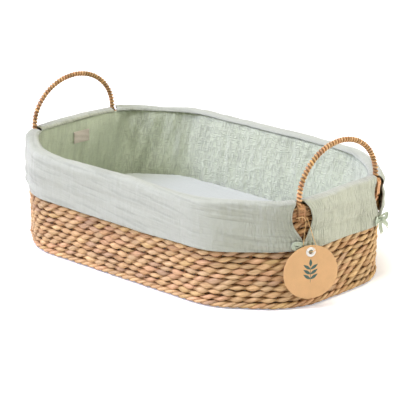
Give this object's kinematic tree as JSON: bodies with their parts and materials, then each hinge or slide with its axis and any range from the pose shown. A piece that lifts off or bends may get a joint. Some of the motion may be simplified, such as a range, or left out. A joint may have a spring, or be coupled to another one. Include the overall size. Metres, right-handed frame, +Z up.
{
  "type": "baby changing basket",
  "caption": "Oval woven baby basket with a fabric liner folded over its rim, a mattress, arched end handles and a hang tag.",
  "frame": {"origin": "centre of the footprint, on the surface that the basket stands on", "axes": "+X along the length towards the end with the hang tag, +Y towards the basket's left side, +Z up"},
  "size_m": [0.8219, 0.4954, 0.321],
  "materials": {
    "weave": "dried plant stems, matt to satin",
    "braid": "dried plant stems, matt",
    "handle_strand": "flat strand, satin",
    "rattan_core": "plain cane",
    "wire": "drawn wire",
    "muslin": "crinkled cotton muslin",
    "padding": "loose wadding",
    "sheet": "crinkled cotton muslin",
    "foam": "soft foam",
    "label": "woven tape",
    "card": "kraft card, matt",
    "eyelet": "satin enamel",
    "cord": "twisted jute"
  },
  "bodies": {
    "root": {"far_handle_core": "rattan_core", "far_handle_wrap": "handle_strand", "far_left_leg_lashing": "handle_strand", "far_left_tie_bow": "muslin", "far_right_leg_lashing": "handle_strand", "far_right_tie_bow": "muslin", "foot_braid": "braid", "liner_floor": "muslin", "liner_inner_wall": "muslin", "liner_padding": "padding", "near_handle_core": "rattan_core", "near_handle_wrap": "handle_strand", "near_left_leg_lashing": "handle_strand", "near_left_tie_bow": "muslin", "near_right_leg_lashing": "handle_strand", "near_right_tie_bow": "muslin", "rim_border": "braid", "sewn_label": "label", "skirt_far_end": "muslin", "skirt_left_side": "muslin", "skirt_near_end": "muslin", "skirt_right_side": "muslin", "tag_cord_loop": "cord", "wire_frame": "wire", "woven_floor": "weave", "woven_wall": "weave"},
    "mattress": {"mattress_foam": "foam", "mattress_sheet": "sheet"},
    "hang_cord": {"tag_cord": "cord"},
    "hang_tag": {"tag_card": "card", "tag_eyelet": "eyelet"}
  },
  "joints": [
    {"name": "mattress_lift", "type": "slide", "parent": "root", "child": "mattress", "axis": [0, 0, 1], "range_m": [0, 0.3]},
    {"name": "tag_swing", "type": "hinge", "parent": "root", "child": "hang_cord", "pos_m": [0.39393, -0.10422, 0.188], "axis": [-0.5318, -0.8469, 0], "range_deg": [0, 60]},
    {"name": "tag_turn", "type": "hinge", "parent": "hang_cord", "child": "hang_tag", "pos_m": [0.39926, -0.10757, 0.12], "axis": [0.8469, -0.5318, 0], "range_deg": [-25, 25]}
  ]
}
